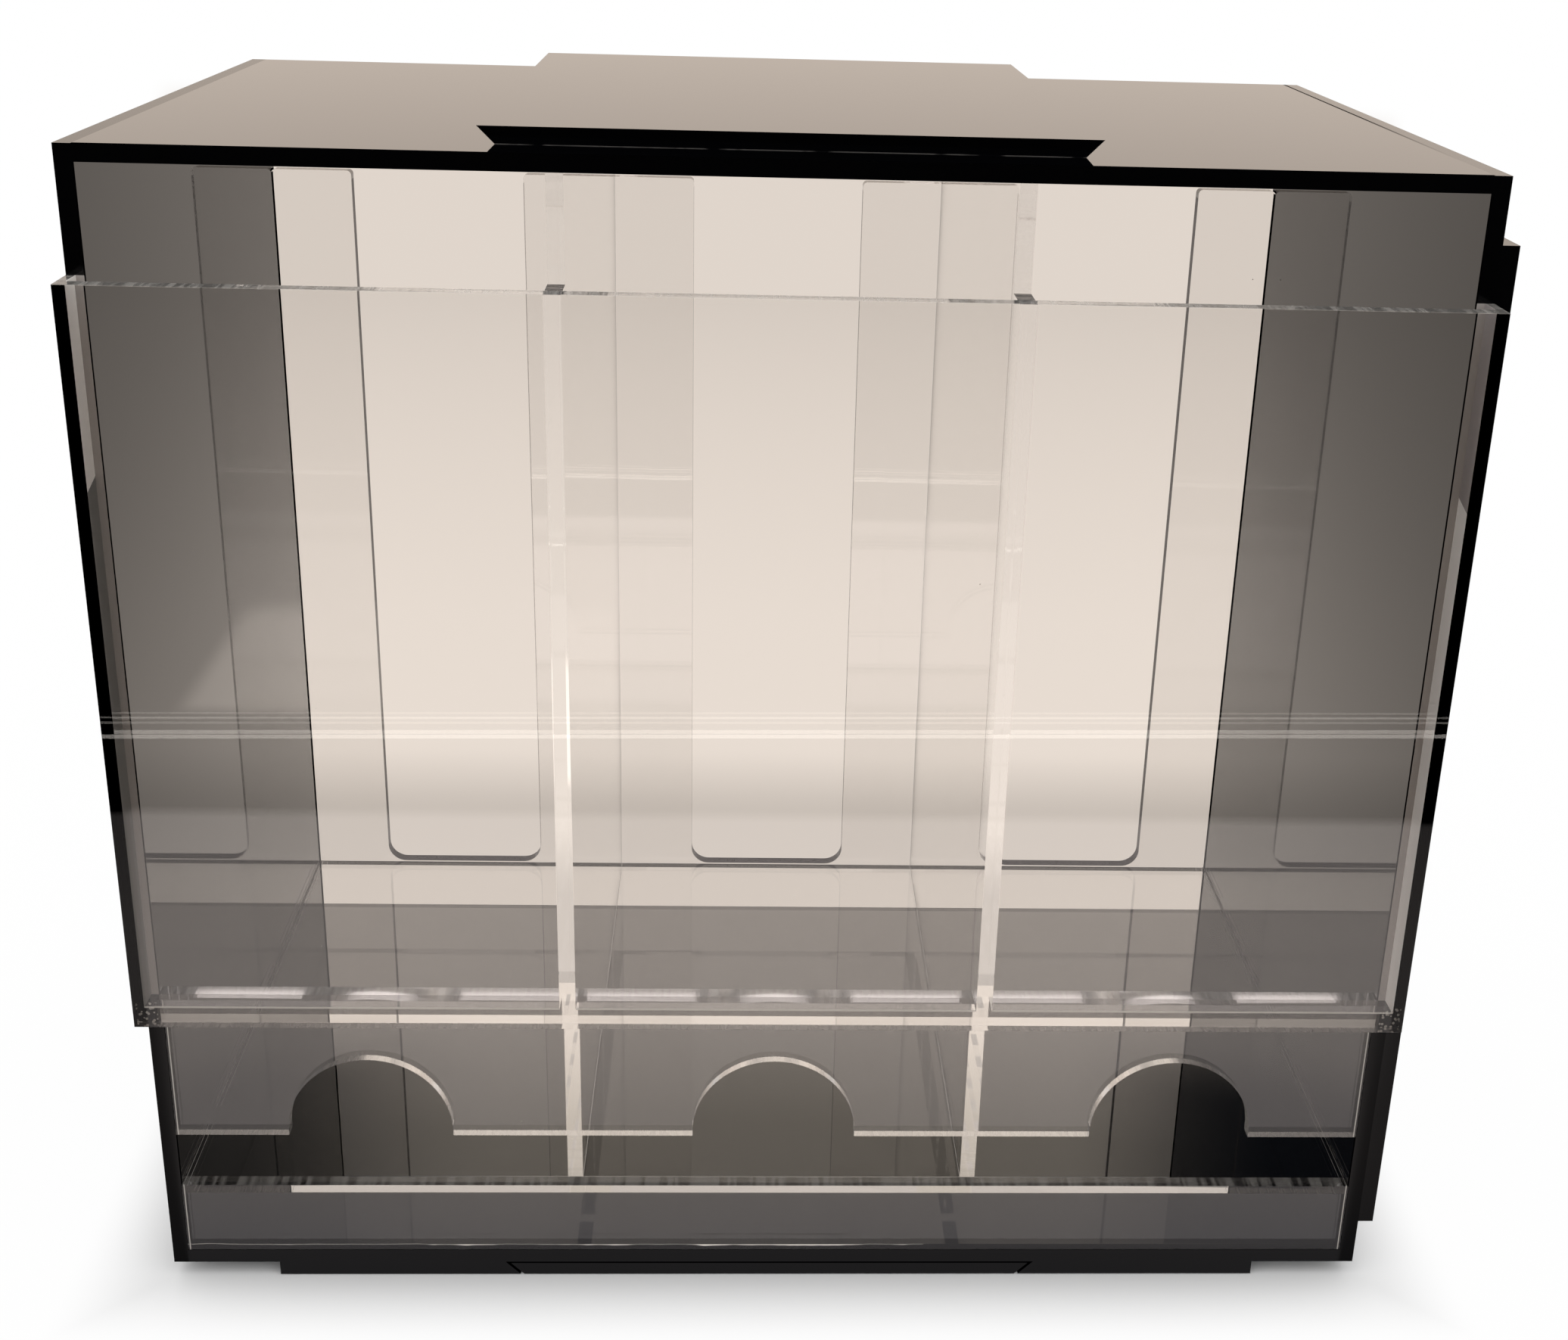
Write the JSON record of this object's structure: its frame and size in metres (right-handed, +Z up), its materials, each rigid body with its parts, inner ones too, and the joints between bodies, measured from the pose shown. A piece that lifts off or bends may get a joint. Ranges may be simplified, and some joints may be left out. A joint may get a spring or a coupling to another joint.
{
  "type": "booster pack dispenser",
  "caption": "Black and clear acrylic countertop dispenser that stacks flat foil packs in columns, with thumb arches at the outlet, a slotted back and stacking dovetails.",
  "frame": {"origin": "middle of the footprint on the table, under the middle of the box", "axes": "+X to the right as seen from the front, +Y from the front to the back, +Z up"},
  "size_m": [0.246, 0.153, 0.226],
  "materials": {
    "black_acrylic": "polished",
    "clear_acrylic": "polished, clear"
  },
  "bodies": {
    "box": {"left_side_panel": "black_acrylic", "right_side_panel": "black_acrylic", "top_panel": "black_acrylic", "bottom_panel": "black_acrylic", "top_dovetail_rail": "black_acrylic", "base_left_strip": "black_acrylic", "base_right_strip": "black_acrylic", "right_front_strip": "black_acrylic", "right_rear_strip": "black_acrylic", "left_dovetail_rail": "black_acrylic", "back_panel": "clear_acrylic", "pack_floor": "clear_acrylic", "front_riser": "clear_acrylic", "left_divider": "clear_acrylic", "right_divider": "clear_acrylic", "lower_front_panel": "clear_acrylic", "window_sheet": "clear_acrylic", "window_left_strip": "clear_acrylic", "window_right_strip": "clear_acrylic", "window_bottom_strip": "clear_acrylic"},
    "key": {"base_dovetail_key": "black_acrylic"}
  },
  "joints": [
    {"name": "key_slide", "type": "slide", "parent": "box", "child": "key", "axis": [0, -1, 0], "range_m": [0, 0.139]}
  ]
}
